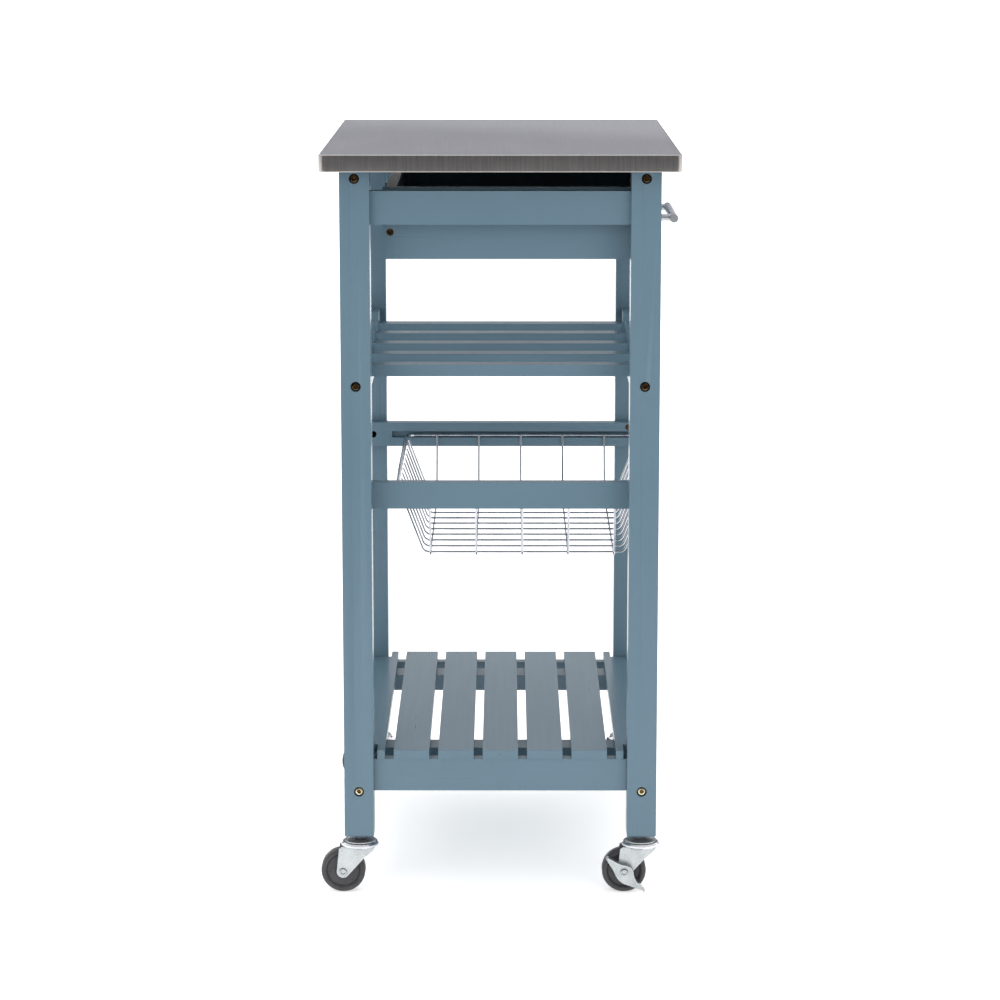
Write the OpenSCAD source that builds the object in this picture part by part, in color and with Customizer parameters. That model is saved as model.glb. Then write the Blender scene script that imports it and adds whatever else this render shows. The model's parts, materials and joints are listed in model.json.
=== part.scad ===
// Kitchen island cart: painted wood frame on four stem casters, steel-skinned worktop,
// one drawer, a bottle rack, a pull-out wire basket and a slatted bottom shelf.
// +X runs along the cart, -Y is the drawer's side, +Z is up, and the wheels stand on z = 0.

/* [Worktop] */
// Height of the worktop above the floor
cart_h = 840; // [830:1:880]
// Length of the worktop
top_l = 580; // [560:1:640]
// Depth of the worktop
top_w = 393; // [388:1:430]
// Thickness of the worktop with its steel skin
top_t = 18; // [16:1:22]
// Thickness of the steel skin
skin_t = 0.8; // [0.6:0.1:1.2]
// Radius of the worktop's upright corners
top_corner_r = 8; // [5:1:12]
// Width of the hem folded under the worktop's edge
hem_w = 10; // [6:1:14]

/* [Frame] */
// Length over the legs
frame_l = 500; // [500:1:540]
// Depth over the legs
frame_w = 352; // [350:1:370]
// Width of a square leg
leg_s = 33; // [32:1:36]
// Height of the legs' lower ends above the floor
leg_foot_z = 67; // [67:1:72]
// Chamfer round a leg's lower end
leg_chamfer = 1.5; // [1:0.5:2]
// Thickness of the long rails
rail_t = 18; // [16:1:20]
// Height of the two top rails
top_rail_h = 22; // [20:1:24]
// Height of the two bottom rails
bottom_rail_h = 53; // [50:1:56]
// Height of the bottom rails' bolts above the floor
bottom_bolt_z = 120; // [120:1:121]
// Thickness of the end rails
end_rail_t = 15; // [14:1:16]
// Height of the end rails
end_rail_h = 37; // [36:1:38]
// Setback of the end rails from the legs' outer faces
end_rail_recess = 9; // [8:1:10]
// Gap from the worktop down to the upper end rails
end_rail_drop = 25; // [24:1:28]

/* [Bottle rack] */
// Height of the rack slats' top faces
rack_z = 598; // [585:1:604]
// Height of the two scalloped rack rails
rack_rail_h = 58; // [56:1:62]
// Height of the rack rails' peaks above the slats
rack_peak = 13; // [12:1:14]
// Bottle bays between slats
bottle_pitch = 89; // [88:1:90]
// Width of a rack slat
rack_slat_w = 26; // [24:1:28]
// Thickness of a rack slat
rack_slat_t = 13; // [12:1:14]
// Radius of a scallop that holds a bottle
scallop_r = 42; // [40:1:42]

/* [Shelf] */
// Height of the shelf slats' top faces
shelf_z = 166; // [165:0.5:166.5]
// Number of shelf slats
shelf_n = 7; // [7:1:7]
// Width of a shelf slat
shelf_slat_w = 40; // [38:1:41]
// Thickness of a shelf slat
shelf_slat_t = 10; // [9:0.5:11]
// Spacing of the shelf slats
shelf_pitch = 50.2; // [50:0.1:50.4]
// Width of the two battens under the shelf
batten_w = 36; // [30:1:40]
// Distance of the battens' centres from the cart's middle
batten_x = 174; // [170:1:176]

/* [Drawer] */
// Gap from the worktop down to the drawer's top edge
drawer_drop = 24; // [24:1:25]
// Height of the drawer's sides
drawer_side_h = 79.5; // [76:0.5:82]
// Height of the drawer's front
drawer_front_h = 94; // [90:1:96]
// Thickness of the drawer's front
drawer_front_t = 16; // [14:1:18]
// Thickness of the drawer's sides and back
drawer_wall_t = 12; // [12:1:13]
// Depth of the drawer box behind its front
drawer_l = 290; // [285:1:295]
// Gap between the drawer box and the legs
drawer_side_gap = 10; // [9:1:11]
// Thickness of the drawer's bottom panel
drawer_floor_t = 4; // [3:0.5:5]
// Diameter of the handle bar
handle_d = 10; // [9:0.5:11]
// Length of the handle bar
handle_l = 150; // [140:1:180]
// Spacing of the handle posts
handle_span = 128; // [96:1:128]
// Distance from the drawer's front face to the handle bar's axis
handle_reach = 23; // [22:1:28]

/* [Basket] */
// Height of the basket runners' middle
runner_z = 454; // [444:1:458]
// Height of a basket runner
runner_h = 30; // [28:1:32]
// Thickness of a basket runner
runner_t = 15; // [15:1:16]
// Diameter of the basket's rim wire
rim_d = 5; // [4.5:0.5:5]
// Diameter of the basket's other wires
wire_d = 2.5; // [2.5:0.1:2.7]
// Depth of the basket below its rim
basket_h = 75; // [68:1:80]
// Number of wires along the basket
long_wires = 5; // [3:1:7]
// Number of wires across the basket
cross_wires = 11; // [7:1:13]

/* [Casters] */
// Diameter of a wheel
wheel_d = 50; // [50:1:50]
// Width of a wheel
wheel_w = 18; // [17:1:18]
// Horizontal distance from the swivel axis to the wheel's axle
trail = 19; // [17:1:19]

/* [Hidden] */
$fn = 48;
slack = 0.3;

// Places of the frame
half_l = frame_l / 2;
half_w = frame_w / 2;
leg_x = half_l - leg_s / 2;
leg_y = half_w - leg_s / 2;
gap_x = half_l - leg_s;
gap_y = half_w - leg_s;
rail_in = leg_y - rail_t / 2;
rail_out = leg_y + rail_t / 2;
under_z = cart_h - top_t;
end_out = half_l - end_rail_recess;
end_in = end_out - end_rail_t;
shelf_under = shelf_z - shelf_slat_t;
batten_z = bottom_bolt_z + bottom_rail_h / 2;
upper_end_z = under_z - end_rail_drop - end_rail_h;
lower_end_z = shelf_under - end_rail_h;
rack_top = rack_z + rack_peak;
rack_bolt_z = rack_top - rack_rail_h / 2;
top_bolt_z = under_z - top_rail_h / 2;
bolt_zs = [bottom_bolt_z, rack_bolt_z, top_bolt_z];
rack_xs = [for (i = [-2:2]) i * bottle_pitch];
shelf_ys = [for (i = [0:shelf_n - 1]) (i - (shelf_n - 1) / 2) * shelf_pitch];
notch_x = gap_x - 3;
notch_y = gap_y - 4;

// Fasteners
bolt_d = 6;
bolt_bore_d = 6.4;
bolt_l = 60;
bolt_head_d = 10;
bolt_head_h = 4;
bolt_sink = 5;
bolt_sink_d = 11.4;
hex_af = 4;
nut_d = 10;
nut_l = 12;
nut_inset = 24;
dowel_d = 8;
dowel_l = 39;
dowel_hole = 20;
dowel_gap = 16;
screw_d = 4;
screw_bore_d = 4.06;
screw_head_d = 8;
screw_head_h = 2.4;
rack_screw_l = 45;
shelf_screw_l = 15;
runner_screw_l = 30;
runner_sink = 1.9;
drawer_screw_l = 32;
dowel_zs = [for (z = [upper_end_z, lower_end_z], s = [-1, 1]) z + end_rail_h / 2 + s * dowel_gap / 2];

// Corner brackets under the worktop
bracket_x = 120;
bracket_l = 30;
bracket_w = 18;
bracket_t = 2;
bracket_screw_l = 12;

// Drawer
drawer_x = gap_x - drawer_side_gap;
drawer_in = drawer_x - drawer_wall_t;
drawer_top = under_z - drawer_drop;
drawer_z = drawer_top - drawer_side_h;
drawer_y0 = -half_w + drawer_front_t;
drawer_y1 = drawer_y0 + drawer_l;
drawer_back_y = drawer_y1 - drawer_wall_t - 2;
drawer_floor_z = drawer_z + 5;
floor_tuck = 4;
front_x = gap_x - 2;
front_z = drawer_top - drawer_front_h;
handle_y = -half_w - handle_reach;
handle_z = front_z + drawer_front_h / 2;
post_d = 8;
handle_screw_d = 4;
track_z = drawer_top - 22.5;
track_h = 15;
track_groove = 6;
track_l = 2 * gap_y - 2;
drawer_screw_zs = [drawer_z + 30, drawer_top - 9];

// Basket
groove_h = 8;
groove_d = 8;
groove_z = runner_z - 4;
groove_end_y = gap_y - 7;
runner_in = gap_x - runner_t;
back_screw_z = runner_z;
front_screw_z = runner_z + runner_h / 2 - 6;
rim_z = groove_z + rim_d / 2 + slack;
rim_x = runner_in + 3;
rim_y0 = -half_w + 4.5;
rim_y1 = gap_y - 25;
rim_mid_y = (rim_y0 + rim_y1) / 2;
rim_half_y = (rim_y1 - rim_y0) / 2;
rim_r = 14;
weld_gap = (rim_d + wire_d) / 2 - 0.1;
bend_r = 8;
floor_in_x = 31;
floor_in_y = 31;
long_span = 208.6;
long_mid_y = rim_mid_y + 2;
cross_span = 338;

// Casters
axle_z = wheel_d / 2;
axle_d = 6;
axle_bore_d = 6.1;
hub_d = 16;
web_in = 3;
sheet_t = 2;
fork_in = wheel_w / 2 + 1.5;
cup_z = 53.2;
cup_d = 43;
cup_h = 5.2;
race_d = 35;
nut_af_d = 14;
stem_d = 8;
stem_l = 34;
stem_bore_d = 8.1;
socket_d = 11;
socket_l = 36;
socket_flange = 1.5;
pedal_t = 1.6;
pedal_flange = 8;

// The model is shifted so that its box is centred on the origin
front_most = half_w + handle_reach + handle_d / 2;
back_most = max(top_w / 2, leg_y + trail + wheel_d / 2);
centre_y = (front_most - back_most) / 2;

// Colours
paint = "#6b8294";
steel = "#b9bcc4";
zinc = "#d4d9dc";
brass = "#8a6a45";
tread = "#45464a";
board = "#b79a72";

// ---- Shared shapes ----

// Places the cart's middle so that the whole box is centred
module centred() {
    translate([0, centre_y, 0]) children();
}

// Turns a shape made for the +X +Y corner to another corner
module corner(sx, sy) {
    mirror([sx < 0 ? 1 : 0, 0, 0]) mirror([0, sy < 0 ? 1 : 0, 0]) children();
}

// A block between two opposite corners
module block(low, high) {
    translate(low) cube(high - low);
}

// A round bar along X, Y or Z from a point
module rod_x(p, d, l) {
    translate(p) rotate([0, 90, 0]) cylinder(d = d, h = l);
}

module rod_y(p, d, l) {
    translate(p) rotate([-90, 0, 0]) cylinder(d = d, h = l);
}

module rod_z(p, d, l) {
    translate(p) cylinder(d = d, h = l);
}

// A rectangle with round corners, about the origin
module round_rect(l, w, r) {
    square([l - 2 * r, w], center = true);
    square([l, w - 2 * r], center = true);
    for (x = [-1, 1], y = [-1, 1]) translate([x * (l / 2 - r), y * (w / 2 - r)]) circle(r = r);
}

// A countersunk wood screw that points down, its head's face at z = 0
module wood_screw(l) {
    difference() {
        union() {
            translate([0, 0, -screw_head_h]) cylinder(d1 = screw_d, d2 = screw_head_d, h = screw_head_h);
            translate([0, 0, -l]) cylinder(d = screw_d, h = l - screw_head_h);
        }
        for (a = [0, 90]) rotate(a) translate([-2.2, -0.45, -1.4]) cube([4.4, 0.9, 2]);
    }
}

// The hole that a wood screw of that length sits in
module screw_hole(l) {
    translate([0, 0, -screw_head_h - 0.05])
        cylinder(d1 = screw_bore_d, d2 = screw_head_d + 0.3, h = screw_head_h + 0.1);
    translate([0, 0, -l - 0.5]) cylinder(d = screw_bore_d, h = l + 0.5);
    cylinder(d = screw_head_d + 0.3, h = 2);
}

// Puts its children at each screw of the frame: the rack's, the runners', the shelf's and the brackets'
module at_rack_screws() {
    for (x = rack_xs, s = [-1, 1])
        translate([x, s * rail_out, rack_z - rack_slat_t / 2]) rotate([-90 * s, 0, 0]) children();
}

module at_runner_screws() {
    for (sx = [-1, 1], sy = [-1, 1])
        translate([sx * (runner_in + runner_sink), sy * leg_y, sy > 0 ? back_screw_z : front_screw_z])
            rotate([0, -90 * sx, 0]) children();
}

module at_shelf_screws() {
    for (sx = [-1, 1], y = shelf_ys)
        translate([sx * batten_x, y * 0.97, batten_z]) rotate([180, 0, 0]) children();
}

module at_bracket_screws() {
    for (sx = [-1, 1], sy = [-1, 1]) {
        translate([sx * bracket_x, sy * (rail_in - bracket_t), under_z - bracket_w / 2 - 2])
            rotate([90 * sy, 0, 0]) children();
        translate([sx * bracket_x, sy * (rail_in - bracket_w / 2 - 2), under_z - bracket_t])
            rotate([180, 0, 0]) children();
    }
}

// ---- Frame ----

// One square leg, with its bolt holes, dowel holes and caster socket
module leg(sx, sy) {
    color(paint) centred() difference() {
        corner(sx, sy) difference() {
            block([gap_x, gap_y, leg_foot_z], [half_l, half_w, under_z]);
            translate([leg_x, leg_y, leg_foot_z]) for (a = [0:90:270]) rotate(a)
                translate([leg_s / 2, 0, 0]) rotate([0, 45, 0])
                    cube([leg_chamfer * sqrt(2), leg_s + 2, leg_chamfer * sqrt(2)], center = true);
            for (z = bolt_zs) {
                rod_x([gap_x - 1, leg_y, z], bolt_bore_d, leg_s + 2);
                rod_x([half_l - bolt_sink, leg_y, z], bolt_sink_d, bolt_sink + 1);
            }
            for (z = dowel_zs) rod_y([leg_x, gap_y - 1, z], dowel_d + 0.06, dowel_hole + 1);
            rod_z([leg_x, leg_y, leg_foot_z - 1], socket_d + 0.04, socket_l + 2);
        }
        at_runner_screws() screw_hole(runner_screw_l);
    }
}

// An end rail between two legs, dowelled at both ends
module end_rail(sx, z) {
    color(paint) centred() corner(sx, 1) difference() {
        block([end_in, -gap_y, z], [end_out, gap_y, z + end_rail_h]);
        for (s = [-1, 1], k = [-1, 1])
            translate([leg_x, s * gap_y, z + end_rail_h / 2 + k * dowel_gap / 2]) rotate([90 * s, 0, 0])
                translate([0, 0, -1]) cylinder(d = dowel_d + 0.06, h = dowel_hole + 1);
    }
}

// A long rail between two legs, bolted at both ends into barrel nuts
module long_rail(sy, z, h, bolt_z) {
    color(paint) centred() corner(1, sy) difference() {
        block([-gap_x, rail_in, z], [gap_x, rail_out, z + h]);
        for (s = [-1, 1]) {
            translate([s * gap_x, leg_y, bolt_z]) rotate([0, -90 * s, 0])
                translate([0, 0, -1]) cylinder(d = bolt_bore_d, h = nut_inset + 13);
            rod_y([s * (gap_x - nut_inset), rail_in - 1, bolt_z], nut_d + 0.1, leg_y + nut_l / 2 - rail_in + 1.2);
        }
    }
}

module top_rail(sy) {
    color(paint) difference() {
        long_rail(sy, under_z - top_rail_h, top_rail_h, top_bolt_z);
        centred() at_bracket_screws() screw_hole(bracket_screw_l);
    }
}

module bottom_rail(sy) {
    long_rail(sy, bottom_bolt_z - bottom_rail_h / 2, bottom_rail_h, bottom_bolt_z);
}

// A rack rail with one scallop for each bottle's neck or base
module rack_rail(sy) {
    color(paint) difference() {
        long_rail(sy, rack_top - rack_rail_h, rack_rail_h, rack_bolt_z);
        centred() for (i = [-1.5:1.5])
            rod_y([i * bottle_pitch, -half_w, rack_top + 14], 2 * scallop_r, frame_w);
        centred() at_rack_screws() screw_hole(rack_screw_l);
    }
}

// The slats that bottles lie on, from the front rail to the back one
module rack_slats() {
    color(paint) centred() difference() {
        for (x = rack_xs)
            block([x - rack_slat_w / 2, -rail_in, rack_z - rack_slat_t], [x + rack_slat_w / 2, rail_in, rack_z]);
        at_rack_screws() screw_hole(rack_screw_l);
    }
}

// A basket runner, with a groove that is open at the front and stopped at the back
module basket_runner(sx) {
    color(paint) centred() difference() {
        corner(sx, 1) difference() {
            block([runner_in, -half_w, runner_z - runner_h / 2], [gap_x, half_w, runner_z + runner_h / 2]);
            block([runner_in - 1, -half_w - 1, groove_z], [runner_in + groove_d, groove_end_y, groove_z + groove_h]);
        }
        at_runner_screws() screw_hole(runner_screw_l);
    }
}

// A wooden track on an upper end rail, which runs in the groove of the drawer's side
module drawer_track(sx) {
    track_x = drawer_x - track_groove + 0.5;
    color(paint) centred() corner(sx, 1)
        block([track_x, -track_l / 2, track_z - track_h / 2], [end_in, track_l / 2, track_z + track_h / 2]);
}

// ---- Shelf ----

// A batten that crosses under the shelf slats and lies on the bottom rails
module shelf_batten(sx) {
    color(paint) centred() difference() {
        corner(sx, 1)
            block([batten_x - batten_w / 2, -rail_out, batten_z], [batten_x + batten_w / 2, rail_out, shelf_under]);
        at_shelf_screws() screw_hole(shelf_screw_l);
    }
}

// One shelf slat along the cart
module shelf_slat(y) {
    block([-end_out - 1, y - shelf_slat_w / 2, shelf_under], [end_out + 1, y + shelf_slat_w / 2, shelf_z]);
}

// An outer slat, cut back round the legs
module shelf_slat_outer(sy) {
    color(paint) centred() difference() {
        shelf_slat(sy * shelf_ys[shelf_n - 1]);
        for (sx = [-1, 1]) corner(sx, sy)
            block([notch_x, notch_y, shelf_under - 1], [half_l, half_w, shelf_z + 1]);
        at_shelf_screws() screw_hole(shelf_screw_l);
    }
}

module shelf_slats_middle() {
    color(paint) centred() difference() {
        for (i = [1:shelf_n - 2]) shelf_slat(shelf_ys[i]);
        at_shelf_screws() screw_hole(shelf_screw_l);
    }
}

// ---- Worktop ----

// The board inside the worktop
module worktop_core() {
    color(board) centred() difference() {
        translate([0, 0, under_z]) linear_extrude(top_t - skin_t)
            round_rect(top_l - 2 * skin_t, top_w - 2 * skin_t, top_corner_r - skin_t);
        at_bracket_screws() screw_hole(bracket_screw_l);
    }
}

// The steel sheet over the board's top and edges, hemmed underneath
module worktop_skin() {
    color(steel) centred() difference() {
        translate([0, 0, under_z - skin_t]) linear_extrude(top_t + skin_t) round_rect(top_l, top_w, top_corner_r);
        translate([0, 0, under_z]) linear_extrude(top_t - skin_t)
            round_rect(top_l - 2 * skin_t, top_w - 2 * skin_t, top_corner_r - skin_t);
        translate([0, 0, under_z - 2 * skin_t]) linear_extrude(2 * skin_t)
            square([top_l - 2 * hem_w, top_w - 2 * hem_w], center = true);
    }
}

// Four steel angles that hold the worktop to the top rails
module worktop_brackets() {
    color(zinc) centred() difference() {
        for (sx = [-1, 1], sy = [-1, 1]) corner(sx, sy) {
            block([bracket_x - bracket_l / 2, rail_in - bracket_t, under_z - bracket_w],
                  [bracket_x + bracket_l / 2, rail_in, under_z]);
            block([bracket_x - bracket_l / 2, rail_in - bracket_w, under_z - bracket_t],
                  [bracket_x + bracket_l / 2, rail_in, under_z]);
        }
        at_bracket_screws() screw_hole(bracket_screw_l);
    }
}

// ---- Fasteners of the frame ----

// The socket-head bolts that join the legs to the long rails
module frame_bolts() {
    color(brass) centred() for (sx = [-1, 1], sy = [-1, 1], z = bolt_zs) corner(sx, sy)
        difference() {
            union() {
                rod_x([half_l - bolt_sink, leg_y, z], bolt_head_d, bolt_head_h);
                rod_x([half_l - bolt_sink - bolt_l, leg_y, z], bolt_d, bolt_l);
            }
            translate([half_l - bolt_sink + bolt_head_h - 2.5, leg_y, z]) rotate([0, 90, 0])
                cylinder(d = hex_af / cos(30), h = 3, $fn = 6);
        }
}

// The barrel nuts inside the long rails
module barrel_nuts() {
    color(zinc) centred() for (sx = [-1, 1], sy = [-1, 1], z = bolt_zs) corner(sx, sy)
        difference() {
            rod_y([gap_x - nut_inset, leg_y - nut_l / 2, z], nut_d, nut_l);
            rod_x([gap_x - nut_inset - nut_d, leg_y, z], bolt_d + 0.1, 2 * nut_d);
        }
}

// The dowels that join the end rails to the legs
module dowels() {
    color(board) centred() for (sx = [-1, 1], sy = [-1, 1], z = dowel_zs) corner(sx, sy)
        rod_y([leg_x, gap_y - dowel_l / 2, z], dowel_d, dowel_l);
}

// Every countersunk wood screw of the frame
module wood_screws() {
    color(brass) centred() {
        at_rack_screws() wood_screw(rack_screw_l);
        at_runner_screws() wood_screw(runner_screw_l);
        at_shelf_screws() wood_screw(shelf_screw_l);
        at_bracket_screws() wood_screw(bracket_screw_l);
    }
}

// ---- Drawer ----

// The drawer's front panel, grooved for the bottom and bored for the handle
module drawer_front() {
    color(paint) centred() difference() {
        block([-front_x, -half_w, front_z], [front_x, drawer_y0, drawer_top]);
        block([-drawer_in - floor_tuck, drawer_y0 - floor_tuck, drawer_floor_z],
              [drawer_in + floor_tuck, drawer_y0 + 1, drawer_floor_z + drawer_floor_t + 0.1]);
        for (s = [-1, 1])
            rod_y([s * handle_span / 2, -half_w - 1, handle_z], handle_screw_d + 0.4, drawer_front_t + 2);
    }
}

// Puts its children at each screw of the drawer box
module at_drawer_screws() {
    for (s = [-1, 1], z = drawer_screw_zs)
        translate([s * drawer_x, drawer_back_y + drawer_wall_t / 2, z]) rotate([0, 90 * s, 0]) children();
}

// A drawer side, grooved outside for its track and inside for the bottom
module drawer_side(sx) {
    color(paint) centred() difference() {
        corner(sx, 1) difference() {
            block([drawer_in, drawer_y0, drawer_z], [drawer_x, drawer_y1, drawer_top]);
            block([drawer_x - track_groove, -gap_y - 4, track_z - track_h / 2 - slack],
                  [drawer_x + 1, drawer_y1 + 1, track_z + track_h / 2 + slack]);
            block([drawer_in - 1, drawer_y0 - 1, drawer_floor_z],
                  [drawer_in + floor_tuck, drawer_y1 + 1, drawer_floor_z + drawer_floor_t + 0.1]);
        }
        at_drawer_screws() screw_hole(drawer_screw_l);
    }
}

module drawer_back() {
    color(paint) centred() difference() {
        block([-drawer_in, drawer_back_y, drawer_floor_z + drawer_floor_t + 0.1],
              [drawer_in, drawer_back_y + drawer_wall_t, drawer_top - 2]);
        at_drawer_screws() screw_hole(drawer_screw_l);
    }
}

// The bottom panel, held in the grooves of the sides and the front
module drawer_bottom() {
    tuck = floor_tuck - 0.2;
    color(paint) centred()
        block([-drawer_in - tuck, drawer_y0 - tuck, drawer_floor_z],
              [drawer_in + tuck, drawer_back_y + drawer_wall_t, drawer_floor_z + drawer_floor_t]);
}

module drawer_screws() {
    color(brass) centred() at_drawer_screws() wood_screw(drawer_screw_l);
}

module handle_bar() {
    color(steel) centred() difference() {
        rod_x([-handle_l / 2, handle_y, handle_z], handle_d, handle_l);
        for (s = [-1, 1])
            rod_y([s * handle_span / 2, handle_y + handle_d / 2 - 2, handle_z], post_d + 0.04, handle_d);
    }
}

// The two posts between the drawer's front and the handle bar, tapped for their screws
module handle_posts() {
    post_y = handle_y + handle_d / 2 - 2;
    color(steel) centred() for (s = [-1, 1]) difference() {
        rod_y([s * handle_span / 2, post_y, handle_z], post_d, -half_w - post_y);
        rod_y([s * handle_span / 2, -half_w - 12, handle_z], handle_screw_d + 0.06, 13);
    }
}

// The two screws that hold the handle from inside the drawer
module handle_screws() {
    color(zinc) centred() for (s = [-1, 1]) {
        rod_y([s * handle_span / 2, -half_w - 10, handle_z], handle_screw_d, drawer_front_t + 10);
        rod_y([s * handle_span / 2, drawer_y0, handle_z], 2 * handle_screw_d, 2.2);
    }
}

// ---- Basket ----

// The rim: four straight lengths joined by four bends
module basket_rim() {
    straight_x = rim_x - rim_r;
    straight_y = rim_half_y - rim_r;
    color(zinc) centred() translate([0, rim_mid_y, rim_z]) for (sx = [-1, 1]) {
        rod_x([-straight_x, sx * rim_half_y, 0], rim_d, 2 * straight_x);
        rod_y([sx * rim_x, -straight_y, 0], rim_d, 2 * straight_y);
        for (sy = [-1, 1]) corner(sx, sy) translate([straight_x, straight_y, 0])
            rotate_extrude(angle = 90) translate([rim_r, 0]) circle(d = rim_d);
    }
}

// A wire bent to a flat-bottomed U in the XZ plane, its floor at z = 0; straights tuck into the bends' ends
module u_wire(top_half, floor_half, rise) {
    slope = atan2(rise, top_half - floor_half);
    tangent = bend_r * tan(slope / 2);
    arm = norm([top_half - floor_half, rise]) - tangent;
    straight_d = wire_d - 0.05;
    tuck = 0.4;
    rod_x([-floor_half + tangent - tuck, 0, 0], straight_d, 2 * (floor_half - tangent + tuck));
    for (s = [-1, 1]) corner(s, 1) {
        translate([floor_half - tangent, 0, bend_r]) rotate([90, 0, 0]) rotate(-90)
            rotate_extrude(angle = slope) translate([bend_r, 0]) circle(d = wire_d);
        translate([floor_half + tangent * cos(slope), 0, tangent * sin(slope)]) rotate([0, 90 - slope, 0])
            translate([0, 0, -tuck]) cylinder(d = straight_d, h = arm + tuck);
    }
}

module basket_long_wires() {
    color(zinc) centred() for (i = [0:long_wires - 1])
        translate([0, long_mid_y + (i / (long_wires - 1) - 0.5) * long_span, rim_z - basket_h])
            u_wire(rim_x - weld_gap, rim_x - floor_in_x, basket_h);
}

module basket_cross_wires() {
    lift = wire_d - 0.05;
    color(zinc) centred() for (i = [0:cross_wires - 1])
        translate([(i / (cross_wires - 1) - 0.5) * cross_span, rim_mid_y, rim_z - basket_h + lift]) rotate(90)
            u_wire(rim_half_y - weld_gap, rim_half_y - floor_in_y, basket_h - lift);
}

// ---- Casters ----

// The sleeve pressed into the leg, which the caster's stem goes into
module caster_sockets() {
    color(zinc) centred() for (sx = [-1, 1], sy = [-1, 1]) translate([sx * leg_x, sy * leg_y, 0]) difference() {
        union() {
            rod_z([0, 0, leg_foot_z], socket_d, socket_l);
            rod_z([0, 0, leg_foot_z - socket_flange], 2 * socket_d, socket_flange);
        }
        rod_z([0, 0, leg_foot_z - socket_flange - 1], stem_bore_d, socket_l);
    }
}

// The fixed half of each caster: stem, hexagon, upper race and the rivet that holds the fork
module caster_stems() {
    race_z = cup_z + cup_h + 0.5;
    nut_top = leg_foot_z - socket_flange;
    color(zinc) centred() for (sx = [-1, 1], sy = [-1, 1]) translate([sx * leg_x, sy * leg_y, 0]) {
        rod_z([0, 0, cup_z - 0.3], stem_d, nut_top + stem_l - cup_z);
        rod_z([0, 0, cup_z - 1.8], stem_d + 2, 1.5);
        rod_z([0, 0, race_z], race_d, 1.2);
        translate([0, 0, race_z + 1.2]) cylinder(d1 = race_d - 2, d2 = 18, h = 1.8);
        translate([0, 0, race_z + 3]) cylinder(d = nut_af_d, h = nut_top - race_z - 3, $fn = 6);
    }
}

// The swivelling fork: a pressed cup and two cheeks that taper to the axle
module fork(sx, sy) {
    cup_r = cup_d / 2;
    color(zinc) centred() translate([sx * leg_x, sy * leg_y, 0]) {
        translate([0, 0, cup_z]) rotate_extrude() polygon([
            [stem_bore_d / 2, 0], [cup_r - 1.5, 0], [cup_r, 1.5], [cup_r, cup_h - 1.8], [cup_r - 1.8, cup_h],
            [race_d / 2 + 0.8, cup_h], [race_d / 2 + 0.8, cup_h - 1.2], [cup_r - 3.5, cup_h - 1.6],
            [cup_r - 3.5, sheet_t], [stem_bore_d / 2, sheet_t]]);
        for (s = [-1, 1]) difference() {
            translate([s * (fork_in + sheet_t / 2), 0, 0]) rotate([90, 0, 90])
                linear_extrude(sheet_t, center = true) {
                    translate([trail, axle_z]) circle(r = 7.3);
                    polygon([[trail + 7.2, axle_z + 1.2], [trail + 4.6, cup_z - 2], [trail + 1, cup_z + 0.5],
                             [-17, cup_z + 0.5], [-15.5, cup_z - 3], [-10, cup_z - 8], [-5.5, cup_z - 11.5],
                             [trail - 5.9, axle_z - 4.3]]);
                }
            rod_x([-fork_in - 4, trail, axle_z], axle_bore_d, 2 * fork_in + 8);
        }
    }
}

// The axle, riveted at both ends; a braked caster has a longer one
module axle(sx, sy, braked) {
    near = fork_in + sheet_t + (braked ? pedal_t + 2 * slack : 0.05);
    far = fork_in + sheet_t + 0.05;
    color(zinc) centred() translate([sx * leg_x, sy * leg_y + trail, axle_z]) {
        rod_x([-near, 0, 0], axle_d, near + far);
        translate([far, 0, 0]) rotate([0, 90, 0]) cylinder(d1 = 9, d2 = 6.5, h = 2);
        translate([-near, 0, 0]) rotate([0, -90, 0]) difference() {
            cylinder(d1 = 9, d2 = 7.5, h = 2.4);
            translate([0, 0, 0.9]) cylinder(d = 5, h = 2);
        }
    }
}

// A one-piece wheel with a raised tread, a sunk web and a hub
module wheel(sx, sy) {
    r = wheel_d / 2;
    w = wheel_w / 2;
    bore = axle_bore_d / 2;
    profile = [[bore, w + 0.7], [hub_d / 2, w + 0.7], [hub_d / 2 + 1, w - web_in], [r - 7, w - web_in], [r - 6, w - 1],
               [r - 4.5, w], [r - 3, w], [r - 1.2, w - 0.8], [r, w - 3]];
    color(tread) centred() translate([sx * leg_x, sy * leg_y + trail, axle_z]) rotate([0, 90, 0])
        rotate_extrude() polygon(concat(profile, [for (i = [len(profile) - 1:-1:0]) [profile[i][0], -profile[i][1]]]));
}

// A rocking brake pedal on the axle's end: a plate with a flange along its upper edge for the foot
module brake_pedal(sx) {
    plate_x = fork_in + sheet_t + slack;
    outline = [[20.9, 17.2], [18.4, 18.9], [14.3, 16.8], [7.7, 12.8], [3, 10.9], [-2.6, 9.9], [-7.4, 7.6],
               [-10.2, 3.2], [-11.2, -3.5], [-13.8, -8.8], [-19.9, -15.2], [-23.5, -19.6], [-22, -22],
               [-13.8, -19.2], [-6.6, -16.3], [0.5, -13.8], [5.6, -10.2], [9.2, -5.1], [12.8, 3.1], [17.9, 10.7]];
    color(zinc) centred() translate([sx * leg_x, -leg_y + trail, axle_z]) difference() {
        rotate([90, 0, -90]) mirror([1, 0, 0]) {
            translate([0, 0, plate_x]) linear_extrude(pedal_t) polygon(outline);
            translate([0, 0, plate_x]) linear_extrude(pedal_t + pedal_flange) difference() {
                polygon(outline);
                translate([0.96, -1.15]) polygon(outline);
            }
        }
        rod_x([-plate_x - pedal_t - 1, 0, 0], axle_bore_d, pedal_t + 2);
    }
}

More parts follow.
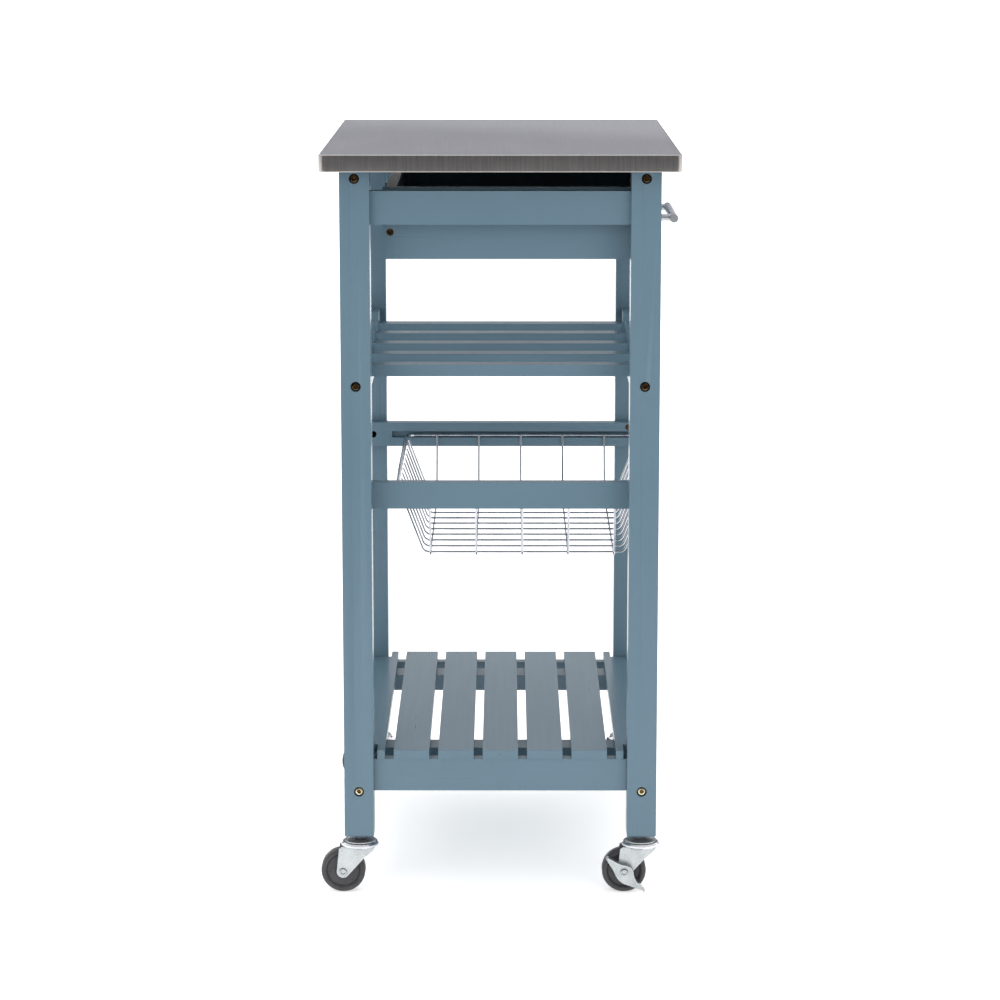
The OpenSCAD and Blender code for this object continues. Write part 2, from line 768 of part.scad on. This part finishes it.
leg(-1, -1);  // leg_front_left
leg(1, -1);  // leg_front_right
leg(-1, 1);  // leg_back_left
leg(1, 1);  // leg_back_right
end_rail(-1, upper_end_z);  // upper_end_rail_left
end_rail(1, upper_end_z);  // upper_end_rail_right
end_rail(-1, lower_end_z);  // lower_end_rail_left
end_rail(1, lower_end_z);  // lower_end_rail_right
top_rail(-1);  // top_rail_front
top_rail(1);  // top_rail_back
rack_rail(-1);  // rack_rail_front
rack_rail(1);  // rack_rail_back
bottom_rail(-1);  // bottom_rail_front
bottom_rail(1);  // bottom_rail_back
rack_slats();
basket_runner(-1);  // basket_runner_left
basket_runner(1);  // basket_runner_right
drawer_track(-1);  // drawer_track_left
drawer_track(1);  // drawer_track_right
shelf_batten(-1);  // shelf_batten_left
shelf_batten(1);  // shelf_batten_right
shelf_slat_outer(-1);  // shelf_slat_front
shelf_slats_middle();
shelf_slat_outer(1);  // shelf_slat_back
worktop_core();
worktop_skin();
worktop_brackets();
frame_bolts();
barrel_nuts();
dowels();
wood_screws();
caster_sockets();
caster_stems();
drawer_front();
drawer_side(-1);  // drawer_side_left
drawer_side(1);  // drawer_side_right
drawer_back();
drawer_bottom();
drawer_screws();
handle_bar();
handle_posts();
handle_screws();
basket_rim();
basket_long_wires();
basket_cross_wires();
fork(-1, -1);  // fork_front_left
fork(1, -1);  // fork_front_right
fork(-1, 1);  // fork_back_left
fork(1, 1);  // fork_back_right
axle(-1, -1, true);  // axle_front_left
axle(1, -1, true);  // axle_front_right
axle(-1, 1, false);  // axle_back_left
axle(1, 1, false);  // axle_back_right
wheel(-1, -1);  // wheel_front_left
wheel(1, -1);  // wheel_front_right
wheel(-1, 1);  // wheel_back_left
wheel(1, 1);  // wheel_back_right
brake_pedal(-1);  // brake_pedal_left
brake_pedal(1);  // brake_pedal_right
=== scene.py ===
"""Kitchen island cart in a pale studio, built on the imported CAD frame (metres, +Z up, front = -Y)."""
import json
import math

import bmesh
import bpy
from mathutils import Matrix, Vector


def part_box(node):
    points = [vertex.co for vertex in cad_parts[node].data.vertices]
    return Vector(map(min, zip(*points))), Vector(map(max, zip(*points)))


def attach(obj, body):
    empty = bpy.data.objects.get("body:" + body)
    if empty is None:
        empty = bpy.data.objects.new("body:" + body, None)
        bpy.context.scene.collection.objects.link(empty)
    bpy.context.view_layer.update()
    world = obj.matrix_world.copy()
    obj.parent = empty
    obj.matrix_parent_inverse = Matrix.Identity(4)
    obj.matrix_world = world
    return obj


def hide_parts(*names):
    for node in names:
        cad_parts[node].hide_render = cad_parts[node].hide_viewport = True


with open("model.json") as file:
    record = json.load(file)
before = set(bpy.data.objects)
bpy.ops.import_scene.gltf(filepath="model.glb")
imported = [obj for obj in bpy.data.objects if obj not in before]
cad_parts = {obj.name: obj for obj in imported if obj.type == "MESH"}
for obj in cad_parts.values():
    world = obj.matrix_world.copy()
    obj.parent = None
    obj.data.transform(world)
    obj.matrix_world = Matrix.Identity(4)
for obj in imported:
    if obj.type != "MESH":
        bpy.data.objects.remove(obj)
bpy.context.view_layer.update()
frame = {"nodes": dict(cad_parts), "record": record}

NODES = frame["nodes"]
RECORD = frame["record"]
BODY_OF = {n: b for b, ns in RECORD["behaviour"]["bodies"].items() for n in ns}
SLOT_OF = {s["node"]: s["material_slot"] for s in RECORD["subparts"]}
X, Y, Z = range(3)
BLACK = (0.0, 0.0, 0.0, 1.0)
WHITE = (1.0, 1.0, 1.0, 1.0)


# ---------------------------------------------------------------- materials
def srgb(r, g, b):
    """A colour given as 0-255 display values, as linear RGBA."""
    def lin(c):
        c /= 255.0
        return c / 12.92 if c <= 0.04045 else ((c + 0.055) / 1.055) ** 2.4
    return (lin(r), lin(g), lin(b), 1.0)


def dimmed(colour, share):
    return tuple(c * share for c in colour[:3]) + (1.0,)


class Shader:
    """A Principled material with a few helpers to lay noise over its sockets."""

    def __init__(self, name, **sockets):
        self.mat = bpy.data.materials.new(name)
        self.mat.use_nodes = True
        self.tree = self.mat.node_tree
        self.tree.nodes.clear()
        out = self.tree.nodes.new("ShaderNodeOutputMaterial")
        self.bsdf = self.tree.nodes.new("ShaderNodeBsdfPrincipled")
        self.link(self.bsdf.outputs["BSDF"], out.inputs["Surface"])
        self.coord = self.tree.nodes.new("ShaderNodeTexCoord").outputs["Object"]
        self.height = None
        for key, value in sockets.items():
            self.bsdf.inputs[key.replace("_", " ")].default_value = value

    def link(self, a, b):
        self.tree.links.new(a, b)

    def noise(self, scale, stretch=(1, 1, 1), detail=3.0, rough=0.5, distortion=0.0):
        m = self.tree.nodes.new("ShaderNodeMapping")
        m.inputs["Scale"].default_value = stretch
        self.link(self.coord, m.inputs["Vector"])
        n = self.tree.nodes.new("ShaderNodeTexNoise")
        n.inputs["Scale"].default_value = scale
        n.inputs["Detail"].default_value = detail
        n.inputs["Roughness"].default_value = rough
        n.inputs["Distortion"].default_value = distortion
        self.link(m.outputs["Vector"], n.inputs["Vector"])
        return n.outputs["Fac"]

    def voronoi(self, scale):
        n = self.tree.nodes.new("ShaderNodeTexVoronoi")
        n.inputs["Scale"].default_value = scale
        self.link(self.coord, n.inputs["Vector"])
        return n.outputs["Distance"]

    def remap(self, value, lo, hi, out_lo, out_hi):
        n = self.tree.nodes.new("ShaderNodeMapRange")
        for key, v in zip(("From Min", "From Max", "To Min", "To Max"), (lo, hi, out_lo, out_hi)):
            n.inputs[key].default_value = v
        self.link(value, n.inputs["Value"])
        return n.outputs["Result"]

    def math(self, op, a, b):
        n = self.tree.nodes.new("ShaderNodeMath")
        n.operation = op
        for i, v in enumerate((a, b)):
            if isinstance(v, (int, float)):
                n.inputs[i].default_value = v
            else:
                self.link(v, n.inputs[i])
        return n.outputs["Value"]

    def weighted(self, a, share, b):
        """The value a by its share, and the value b by the rest."""
        return self.math("ADD", self.math("MULTIPLY", a, share), self.math("MULTIPLY", b, 1.0 - share))

    def mix(self, factor, a, b):
        n = self.tree.nodes.new("ShaderNodeMix")
        n.data_type = "RGBA"
        for i, v in ((0, factor), (6, a), (7, b)):
            if isinstance(v, (int, float, tuple)):
                n.inputs[i].default_value = v
            else:
                self.link(v, n.inputs[i])
        return n.outputs[2]

    def blend(self, factor, a, b):
        """The value a where the factor is 0, and b where it is 1."""
        n = self.tree.nodes.new("ShaderNodeMix")
        for i, v in ((0, factor), (2, a), (3, b)):
            self.link(v, n.inputs[i])
        return n.outputs[0]

    def normal(self, axis):
        g = self.tree.nodes.new("ShaderNodeNewGeometry")
        x = self.tree.nodes.new("ShaderNodeSeparateXYZ")
        self.link(g.outputs["Normal"], x.inputs[0])
        return x.outputs[axis]

    def facing(self, axis):
        """1 on faces that look along an axis, either way, and 0 on the others."""
        return self.remap(self.math("ABSOLUTE", self.normal(axis), 0.0), 0.45, 0.75, 0.0, 1.0)

    def colour(self, value):
        self.link(value, self.bsdf.inputs["Base Color"])

    def roughness(self, value):
        self.link(value, self.bsdf.inputs["Roughness"])

    def bump(self, value, distance, strength):
        n = self.tree.nodes.new("ShaderNodeBump")
        n.inputs["Strength"].default_value = strength
        n.inputs["Distance"].default_value = distance
        self.link(value, n.inputs["Height"])
        if self.height is not None:
            self.link(self.height, n.inputs["Normal"])
        self.height = n.outputs["Normal"]
        self.link(self.height, self.bsdf.inputs["Normal"])


def along(axis, length, across):
    """Noise scales for a grain that runs along one axis."""
    return tuple(length if i == axis else across for i in range(3))


def painted_wood(axis):
    """Satin blue-grey paint that lets a little of the grain through."""
    light, dark = srgb(89, 113, 127), srgb(85, 109, 123)
    grain_line, pore = srgb(80, 103, 117), srgb(72, 92, 105)
    s = Shader("paint_" + "xyz"[axis], Specular_IOR_Level=0.36, Coat_Weight=0.08, Coat_Roughness=0.1)
    cloud = s.noise(5.0, detail=2.0)
    grain = s.noise(1.0, along(axis, 5.0, 170.0))
    pores = s.noise(1.0, along(axis, 40.0, 900.0), detail=2.0)
    tone = s.mix(s.remap(cloud, 0.3, 0.7, 0.0, 1.0), dark, light)
    tone = s.mix(s.remap(grain, 0.45, 0.8, 0.0, 0.1), tone, grain_line)
    s.colour(s.mix(s.remap(pores, 0.6, 0.8, 0.0, 0.1), tone, pore))
    s.roughness(s.remap(s.weighted(grain, 0.6, cloud), 0.3, 0.7, 0.27, 0.32))
    s.bump(grain, 0.00002, 0.3)
    s.bump(pores, 0.000005, 0.3)
    s.bump(s.noise(420.0, detail=1.0), 0.00001, 0.2)
    return s.mat


def worktop_steel():
    """Steel brushed along the worktop, its lines turning down over the two ends."""
    s = Shader("worktop_steel", Metallic=1.0)
    on_top = s.noise(1.0, (5.0, 1100.0, 5.0), detail=2.0, rough=0.6)
    on_sides = s.noise(1.0, (5.0, 5.0, 1100.0), detail=2.0, rough=0.6)
    on_ends = s.noise(1.0, (5.0, 700.0, 30.0), detail=2.0, rough=0.6)
    side, end = s.facing(Y), s.facing(X)
    lines = s.blend(end, s.blend(side, on_top, on_sides), on_ends)
    cloud = s.noise(6.0)
    smear = s.noise(1.0, (10.0, 16.0, 40.0), detail=4.0, rough=0.6, distortion=0.6)
    # The ends and sides take a warmer tint than the top: a painted reflection.
    edge = s.math("MAXIMUM", side, end)
    light = s.mix(edge, srgb(188, 187, 193), srgb(190, 185, 181))
    dark = s.mix(edge, srgb(179, 178, 184), srgb(174, 170, 166))
    tone = s.mix(s.remap(lines, 0.35, 0.65, 0.0, 1.0), dark, light)
    s.colour(s.mix(s.remap(smear, 0.5, 0.75, 0.0, 0.12), tone, srgb(204, 202, 201)))
    s.roughness(s.remap(s.weighted(smear, 0.5, cloud), 0.3, 0.7, 0.28, 0.34))
    s.bump(lines, 0.000005, 0.5)
    s.bump(cloud, 0.00003, 0.15)
    return s.mat


def handle_steel():
    """The handle's steel, brushed along its bar."""
    base = srgb(206, 206, 210)
    s = Shader("handle_steel", Metallic=0.6)
    fine = s.noise(1.0, along(X, 6.0, 1400.0), rough=0.7)
    cloud = s.noise(9.0)
    scratch = s.noise(1.0, along(X, 1.5, 260.0), detail=2.0, distortion=0.4)
    tone = s.mix(s.remap(fine, 0.3, 0.7, 0.0, 1.0), dimmed(base, 0.9), base)
    s.colour(s.mix(s.remap(cloud, 0.35, 0.75, 0.0, 0.25), tone, dimmed(base, 0.8)))
    s.roughness(s.remap(s.weighted(fine, 0.5, cloud), 0.3, 0.7, 0.2, 0.34))
    s.bump(fine, 0.00002, 0.5)
    s.bump(scratch, 0.00003, 0.35)
    return s.mat


def zinc(name, light, dark, metallic, smooth, painted_shade_up):
    """Zinc plating; a softer, paler finish has a lower metallic value, and painted shade darkens what faces
    up.
    """
    s = Shader(name, Metallic=metallic, Specular_IOR_Level=0.7)
    spangle = s.voronoi(240.0)
    cloud = s.noise(60.0, detail=4.0)
    tone = s.mix(s.remap(cloud, 0.3, 0.7, 0.0, 1.0), dark, light)
    tone = s.mix(s.remap(spangle, 0.0, 0.5, 0.15, 0.0), tone, srgb(150, 152, 156))
    # Faces that look up are darkened towards grey: painted shade.
    s.colour(s.mix(s.remap(s.normal(Z), 0.15, 0.5, 0.0, painted_shade_up), tone, srgb(96, 99, 106)))
    s.roughness(s.remap(cloud, 0.3, 0.7, smooth, smooth + 0.16))
    s.bump(cloud, 0.00005, 0.5)
    s.bump(s.noise(700.0, detail=1.0), 0.00002, 0.6)
    return s.mat


def chrome():
    s = Shader("chrome", Metallic=1.0)
    cloud = s.noise(70.0)
    s.colour(s.mix(s.remap(cloud, 0.35, 0.7, 0.0, 0.5), srgb(204, 206, 211), srgb(156, 158, 165)))
    s.roughness(s.remap(s.noise(240.0, detail=2.0), 0.3, 0.7, 0.08, 0.2))
    s.bump(s.noise(500.0, detail=2.0), 0.00003, 0.5)
    return s.mat


def bronze(name, light, dark):
    s = Shader(name, Metallic=1.0)
    cloud = s.noise(260.0, detail=4.0)
    s.colour(s.mix(s.remap(cloud, 0.35, 0.65, 0.0, 1.0), light, dark))
    s.roughness(s.remap(cloud, 0.3, 0.7, 0.22, 0.42))
    s.bump(cloud, 0.00004, 0.6)
    return s.mat


def grey_plastic():
    s = Shader("wheel_plastic", Specular_IOR_Level=0.45)
    cloud = s.noise(40.0, detail=4.0)
    dust = s.noise(150.0, detail=5.0, rough=0.7)
    tone = s.mix(s.remap(cloud, 0.3, 0.7, 0.0, 1.0), srgb(50, 50, 52), srgb(68, 68, 70))
    s.colour(s.mix(s.remap(dust, 0.55, 0.8, 0.0, 0.3), tone, srgb(104, 102, 98)))
    s.roughness(s.remap(dust, 0.3, 0.7, 0.38, 0.6))
    s.bump(s.noise(600.0, detail=2.0), 0.00006, 0.5)
    return s.mat


def bare_beech():
    light, dark = srgb(214, 178, 132), srgb(176, 136, 92)
    s = Shader("beech", Specular_IOR_Level=0.4)
    grain = s.noise(1.0, along(Y, 7.0, 190.0), detail=5.0, rough=0.65, distortion=0.6)
    flecks = s.noise(1.0, along(Y, 60.0, 700.0), detail=2.0)
    tone = s.mix(s.remap(grain, 0.3, 0.7, 0.0, 1.0), dark, light)
    s.colour(s.mix(s.remap(flecks, 0.58, 0.75, 0.0, 0.5), tone, dark))
    s.roughness(s.remap(grain, 0.3, 0.7, 0.5, 0.68))
    s.bump(grain, 0.0002, 0.5)
    s.bump(flecks, 0.0001, 0.5)
    return s.mat


def particle_board():
    s = Shader("particle_board")
    chips = s.voronoi(420.0)
    cloud = s.noise(120.0, detail=4.0)
    # These browns are darker than bare board: painted shade for the worktop's unlit underside.
    tone = s.mix(s.remap(chips, 0.0, 0.6, 0.0, 1.0), srgb(62, 56, 50), srgb(88, 80, 72))
    s.colour(s.mix(s.remap(cloud, 0.4, 0.7, 0.0, 0.5), tone, srgb(48, 44, 40)))
    s.roughness(s.remap(chips, 0.0, 0.6, 0.6, 0.85))
    s.bump(chips, 0.0003, 0.6)
    return s.mat


PAINT = [painted_wood(axis) for axis in (X, Y, Z)]
STEEL_TOP = worktop_steel()
STEEL_HANDLE = handle_steel()
ZINC = zinc("zinc", srgb(200, 205, 205), srgb(170, 175, 177), 0.66, 0.2, 0.62)
# A darker copy of the zinc: painted shade for the sockets and the stems' hexagons under the legs.
ZINC_PAINTED_SHADE = zinc("zinc_painted_shade", srgb(104, 108, 116), srgb(72, 76, 84), 0.9, 0.24, 0.62)
# A lighter copy of the zinc for the forks' cups: painted light, on a smoother, more metallic finish.
ZINC_PAINTED_LIGHT = zinc("zinc_painted_light", srgb(232, 233, 238), srgb(204, 206, 212), 0.95, 0.08, 0.12)
CHROME = chrome()
BRONZE = bronze("bronze", srgb(134, 104, 66), srgb(50, 40, 32))
# A lighter copy of the bronze: a painted highlight for the lowest bolts' domes.
BRONZE_PAINTED_HIGHLIGHT = bronze("brass", srgb(236, 224, 188), srgb(176, 160, 124))
PLASTIC = grey_plastic()
BEECH = bare_beech()
PARTICLE = particle_board()


# ---------------------------------------------------------------- pieces
def new_object(name, bm, sharp=None):
    """A smooth-shaded object from a bmesh; edges past the sharp angle, in degrees, stay sharp."""
    mesh = bpy.data.meshes.new(name)
    bm.to_mesh(mesh)
    bm.free()
    mesh.shade_smooth()
    if sharp:
        mesh.set_sharp_from_angle(angle=math.radians(sharp))
    obj = bpy.data.objects.new(name, mesh)
    bpy.context.scene.collection.objects.link(obj)
    return obj


def bridge(bm, loops, closed=True):
    """Faces between each pair of neighbouring loops, or open rows, of points."""
    for a, b in zip(loops, loops[1:]):
        for i in range(len(a) if closed else len(a) - 1):
            j = (i + 1) % len(a)
            bm.faces.new((a[i], a[j], b[j], b[i]))


def finish(obj, node, material):
    """Gives a piece its material, and puts it in its CAD node's body."""
    obj.data.materials.append(material)
    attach(obj, BODY_OF[node])


def welded(source):
    """A bmesh of a mesh with its doubled corners joined."""
    bm = bmesh.new()
    bm.from_mesh(source)
    bmesh.ops.remove_doubles(bm, verts=bm.verts, dist=1e-6)
    return bm


def eased(node, width, material, segments=3):
    """The CAD node's own shape with its edges eased, standing for the node."""
    hard_edge, flat = 35.0, math.radians(1.0)
    bm = welded(NODES[node].data)
    bmesh.ops.dissolve_limit(bm, angle_limit=flat, verts=bm.verts, edges=bm.edges,
                             use_dissolve_boundaries=False)
    obj = new_object("eased_" + node, bm, hard_edge)
    if width:
        bevel = obj.modifiers.new("ease", "BEVEL")
        bevel.width = width
        bevel.segments = segments
        bevel.limit_method = "ANGLE"
        bevel.angle_limit = math.radians(hard_edge)
        bevel.harden_normals = True
        bevel.use_clamp_overlap = True
    finish(obj, node, material)
    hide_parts(node)
    return obj


def rounded_outline(half_x, half_y, radius, steps=8):
    """The points of a rectangle with round corners, anticlockwise."""
    points = []
    for side_x, side_y, start in ((1, 1, 0), (-1, 1, 90), (-1, -1, 180), (1, -1, 270)):
        for i in range(steps + 1):
            a = math.radians(start + 90.0 * i / steps)
            x = side_x * (half_x - radius) + radius * math.cos(a)
            y = side_y * (half_y - radius) + radius * math.sin(a)
            points.append((x, y))
    return points


def folded_sheet(node):
    """The worktop's steel sheet, rounded along its top and bottom edges and hemmed underneath."""
    lo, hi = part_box(node)
    mid = (lo + hi) / 2
    half = (hi - lo) / 2
    fold, base_fold, hem, sheet = 0.0016, 0.0011, 0.0098, 0.00075
    corner, least_corner = 0.008, 0.0015
    turn = (0.0, 0.4, 0.8, 1.2, math.pi / 2)
    rings = [(hem, lo.z + sheet), (hem, lo.z)]
    rings += [(base_fold * (1 - math.sin(a)), lo.z + base_fold * (1 - math.cos(a))) for a in turn]
    rings += [(fold * (1 - math.cos(a)), hi.z - fold * (1 - math.sin(a))) for a in turn]
    bm = bmesh.new()
    loops = []
    for inset, z in rings:
        outline = rounded_outline(half.x - inset, half.y - inset, max(corner - inset, least_corner))
        loops.append([bm.verts.new((mid.x + x, mid.y + y, z)) for x, y in outline])
    bridge(bm, loops)
    bm.faces.new(loops[-1])
    bm.normal_update()
    obj = new_object("folded_" + node, bm, 40.0)
    finish(obj, node, STEEL_TOP)
    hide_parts(node)


def repaint(obj, material, above):
    """A second material on the faces whose middle lies above a height, used for painted light on the cups
    and painted shade on the hexagons.
    """
    obj.data.materials.append(material)
    for face in obj.data.polygons:
        if face.center.z > above:
            face.material_index = 1


def separate_solids(source):
    """The separate solids in a mesh, each as the list of its corner points."""
    bm = welded(source)
    bm.verts.index_update()
    root = list(range(len(bm.verts)))

    def find(i):
        while root[i] != i:
            root[i] = root[root[i]]
            i = root[i]
        return i
    for edge in bm.edges:
        root[find(edge.verts[0].index)] = find(edge.verts[1].index)
    groups = {}
    for v in bm.verts:
        groups.setdefault(find(v.index), []).append(v.co.copy())
    bm.free()
    return [groups[k] for k in sorted(groups)]


def lathe(bm, rings, place, steps=48):
    """Joins rings of points (radius by angle, distance) round an axis, closed at both ends."""
    loops = []
    for radius, along_axis in rings:
        loop = []
        for i in range(steps):
            a = 2 * math.pi * i / steps
            r = radius(a) if callable(radius) else radius
            loop.append(bm.verts.new(place(r * math.cos(a), r * math.sin(a), along_axis)))
        loops.append(loop)
    bridge(bm, loops)
    bm.faces.new(list(reversed(loops[0])))
    bm.faces.new(loops[-1])


def hexagon(across_flats, swell=1.0):
    """The radius of a hexagon at each angle."""
    def radius(a):
        return swell * across_flats / 2 / math.cos((a % (math.pi / 3)) - math.pi / 6)
    return radius


def domed_bolts(node):
    """The frame's bolts with domed socket heads, in the places of the plain ones; the domes of the lowest
    get a lighter copy of the bronze, a painted highlight.
    """
    key, key_depth, key_lip = 0.0041, 0.0025, 0.0003
    painted_highlight_below = 0.3
    dome = ((0.6, 0.0), (0.74, 0.03), (0.86, 0.11), (0.94, 0.22), (0.985, 0.36), (1.0, 0.5), (1.0, 0.8))
    socket = [(hexagon(key), key_depth), (hexagon(key), key_lip), (hexagon(key, 1.09), 0.0)]
    bm = bmesh.new()
    axes = []
    for points in separate_solids(NODES[node].data):
        lo = Vector([min(p[i] for p in points) for i in range(3)])
        hi = Vector([max(p[i] for p in points) for i in range(3)])
        mid = (lo + hi) / 2
        head_r = (hi.y - lo.y) / 2
        length = hi.x - lo.x
        side = 1 if mid.x > 0 else -1
        face_x = hi.x if side > 0 else lo.x
        axes.append(mid.yz)

        def place(y, z, depth):
            return (face_x - side * depth, mid.y + y * side, mid.z + z)
        head = [(head_r * r, head_r * d) for r, d in dome]
        shank_r, chamfer = head_r * 0.6, head_r * 0.1
        shank = [(shank_r, head_r * 0.8), (shank_r, length - 0.0006), (shank_r - chamfer, length)]
        lathe(bm, socket + head + shank, place)
    bmesh.ops.recalc_face_normals(bm, faces=bm.faces)
    obj = new_object("domed_" + node, bm, 40.0)
    finish(obj, node, BRONZE)
    obj.data.materials.append(BRONZE_PAINTED_HIGHLIGHT)
    # The domes of the lowest bolts take the lighter bronze: a painted highlight.
    for face in obj.data.polygons:
        off_axis = min((face.center.yz - axis).length for axis in axes)
        if face.center.z < painted_highlight_below and off_axis > head_r * 0.5:
            face.material_index = 1
    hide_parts(node)


def wheel_marks(node):
    """The moulding's ejector marks: three small domes on both faces of a wheel."""
    off_middle, ring, dome_r, flatten = 0.0062, 0.0152, 0.0011, 0.35
    lo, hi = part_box(node)
    mid = (lo + hi) / 2
    bm = bmesh.new()
    for side in (-1, 1):
        for angle in (-52.0, 68.0, 188.0):
            a = math.radians(angle)
            at = mid + Vector((side * off_middle, side * ring * math.cos(a), ring * math.sin(a)))
            squash = Matrix.Translation(at) @ Matrix.Diagonal((flatten, 1.0, 1.0, 1.0))
            bmesh.ops.create_icosphere(bm, subdivisions=3, radius=dome_r, matrix=squash)
    finish(new_object("marks_" + node, bm), node, PLASTIC)


def grain_axis(node):
    """The axis that a wooden piece's grain follows; the rack's slats, a group, all run along Y."""
    if node == "rack_slats":
        return Y
    lo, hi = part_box(node)
    size = hi - lo
    return max((X, Y, Z), key=lambda i: size[i])


def zinc_piece(node):
    """A plated piece; the forks' cups get painted light, and the stems' hexagons and the sockets painted
    shade.
    """
    cup_height, hexagon_gap = 0.005, 0.003
    piece = eased(node, 0.0003, ZINC_PAINTED_SHADE if node == "caster_sockets" else ZINC, segments=2)
    if node.startswith("fork_"):
        repaint(piece, ZINC_PAINTED_LIGHT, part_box(node)[1].z - cup_height)
    if node == "caster_stems":
        repaint(piece, ZINC_PAINTED_SHADE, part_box("caster_sockets")[0].z - hexagon_gap)


def dress(node):
    """Builds the visible piece that stands for a CAD node."""
    slot = SLOT_OF[node]
    if slot == "painted_wood":
        eased(node, 0.0014, PAINT[grain_axis(node)])
    elif slot == "hardboard":
        eased(node, 0.0004, PAINT[grain_axis(node)])
    elif slot == "bare_beech":
        eased(node, 0.0008, BEECH)
    elif node == "worktop_skin":
        folded_sheet(node)
    elif slot == "stainless_steel":
        eased(node, 0.0004, STEEL_HANDLE)
    elif slot == "zinc_plated_steel":
        zinc_piece(node)
    elif slot == "grey_plastic":
        eased(node, 0.0003, PLASTIC, segments=2)
        wheel_marks(node)
    elif slot == "chromed_wire":
        eased(node, 0, CHROME)
    elif node == "frame_bolts":
        domed_bolts(node)
    elif slot == "bronzed_steel":
        eased(node, 0.0001, BRONZE, segments=2)
    else:
        eased(node, 0.0005, PARTICLE)


for node in sorted(NODES):
    dress(node)


# ---------------------------------------------------------------- studio
def studio_floor():
    """A glowing paper floor that curves up into a wall far behind the cart."""
    near, bend, radius, top, half_width, sunk = -9.0, 6.0, 2.5, 12.0, 14.0, 0.0003
    steps = 12
    profile = [(near, 0.0), (bend, 0.0)]
    for i in range(1, steps + 1):
        a = math.pi / 2 * i / steps
        profile.append((bend + radius * math.sin(a), radius - radius * math.cos(a)))
    profile.append((bend + radius, top))
    bm = bmesh.new()
    rows = [[bm.verts.new((x, y, z - sunk)) for y in (half_width, -half_width)] for x, z in profile]
    bridge(bm, rows, closed=False)
    obj = new_object("studio_floor", bm)
    s = Shader("studio_paper", Roughness=0.9, Specular_IOR_Level=0.1,
               Emission_Color=WHITE, Emission_Strength=0.4)
    s.colour(s.mix(s.noise(2.0), srgb(250, 250, 250), srgb(252, 252, 252)))
    obj.data.materials.append(s.mat)


def reflection_card(name, x, half_y, heights, levels):
    """A hanging sheet that only glossy reflections see, its brightness set by height."""
    strips, sway, wave = 40, 0.05, 1.3
    bm = bmesh.new()
    rows = []
    for i in range(strips + 1):
        y = -half_y + 2 * half_y * i / strips
        rows.append([bm.verts.new((x + sway * math.sin(i * wave), y, z)) for z in (heights[-1], heights[0])])
    bridge(bm, rows, closed=False)
    obj = new_object(name, bm)
    obj.visible_camera = False
    obj.visible_diffuse = False
    obj.visible_shadow = False
    obj.visible_transmission = False
    s = Shader(name, Roughness=1.0, Specular_IOR_Level=0.0, Base_Color=BLACK, Emission_Strength=1.0)
    split = s.tree.nodes.new("ShaderNodeSeparateXYZ")
    s.link(s.coord, split.inputs[0])
    height = split.outputs[Z]
    level = s.remap(height, heights[0], heights[1], levels[0], levels[1])
    for lo, hi, change in zip(heights[1:], heights[2:], levels[2:]):
        level = s.math("MULTIPLY", level, s.remap(height, lo, hi, 1.0, change))
    s.link(s.mix(level, BLACK, (0.91, 0.93, 1.0, 1.0)), s.bsdf.inputs["Emission Color"])
    obj.data.materials.append(s.mat)


def soft_light(name, place, target, size, power):
    """A rectangular light that brightens surfaces but isn't seen in reflections."""
    light = bpy.data.lights.new(name, "AREA")
    light.shape = "RECTANGLE"
    light.size, light.size_y = size
    light.energy = power
    obj = bpy.data.objects.new(name, light)
    obj.location = place
    obj.visible_glossy = False
    obj.rotation_mode = "QUATERNION"
    obj.rotation_quaternion = (Vector(target) - Vector(place)).to_track_quat("-Z", "Y")
    bpy.context.scene.collection.objects.link(obj)


def camera():
    """Looks at the cart's left end, along +X and a little down."""
    place, yaw, pitch, lens = Vector((-3.6997, -0.0049, 1.1019)), 0.0016, 0.1853, 113.9
    level = math.cos(pitch)
    forward = Vector((math.cos(yaw) * level, math.sin(yaw) * level, -math.sin(pitch)))
    right = Vector((math.sin(yaw), -math.cos(yaw), 0.0))
    up = right.cross(forward)
    data = bpy.data.cameras.new("camera")
    data.sensor_width = 36.0
    data.lens = lens
    data.dof.use_dof = False
    data.clip_end = 60.0
    obj = bpy.data.objects.new("camera", data)
    turn = Matrix((right, up, -forward)).transposed().to_4x4()
    obj.matrix_world = Matrix.Translation(place) @ turn
    bpy.context.scene.collection.objects.link(obj)
    bpy.context.scene.camera = obj


def white_world():
    world = bpy.data.worlds.new("studio")
    bpy.context.scene.world = world
    world.use_nodes = True
    background = world.node_tree.nodes["Background"]
    background.inputs["Color"].default_value = WHITE
    background.inputs["Strength"].default_value = 1.0


studio_floor()
reflection_card("far_card", 5.4, 5.0, (1.02, 1.3, 1.55, 4.2), (0.95, 0.36, 1.0, 1.0))
reflection_card("near_card", -1.7, 2.4, (0.02, 0.7, 1.1, 2.4), (0.2, 0.2, 0.85, 1.0))
white_world()
soft_light("key", (-3.9, 2.2, 1.8), (0, 0, 0.6), (2.4, 1.6), 36.0)
soft_light("fill", (-3.9, -2.2, 1.5), (0, 0, 0.6), (2.4, 1.4), 26.0)
soft_light("top", (0.4, 0.2, 4.2), (0, 0, 0.4), (2.6, 2.6), 19.0)
soft_light("backdrop", (3.2, 0.0, 4.6), (7.5, 0, 1.6), (5.0, 1.5), 160.0)
camera()
bpy.context.scene.view_settings.view_transform = "Standard"
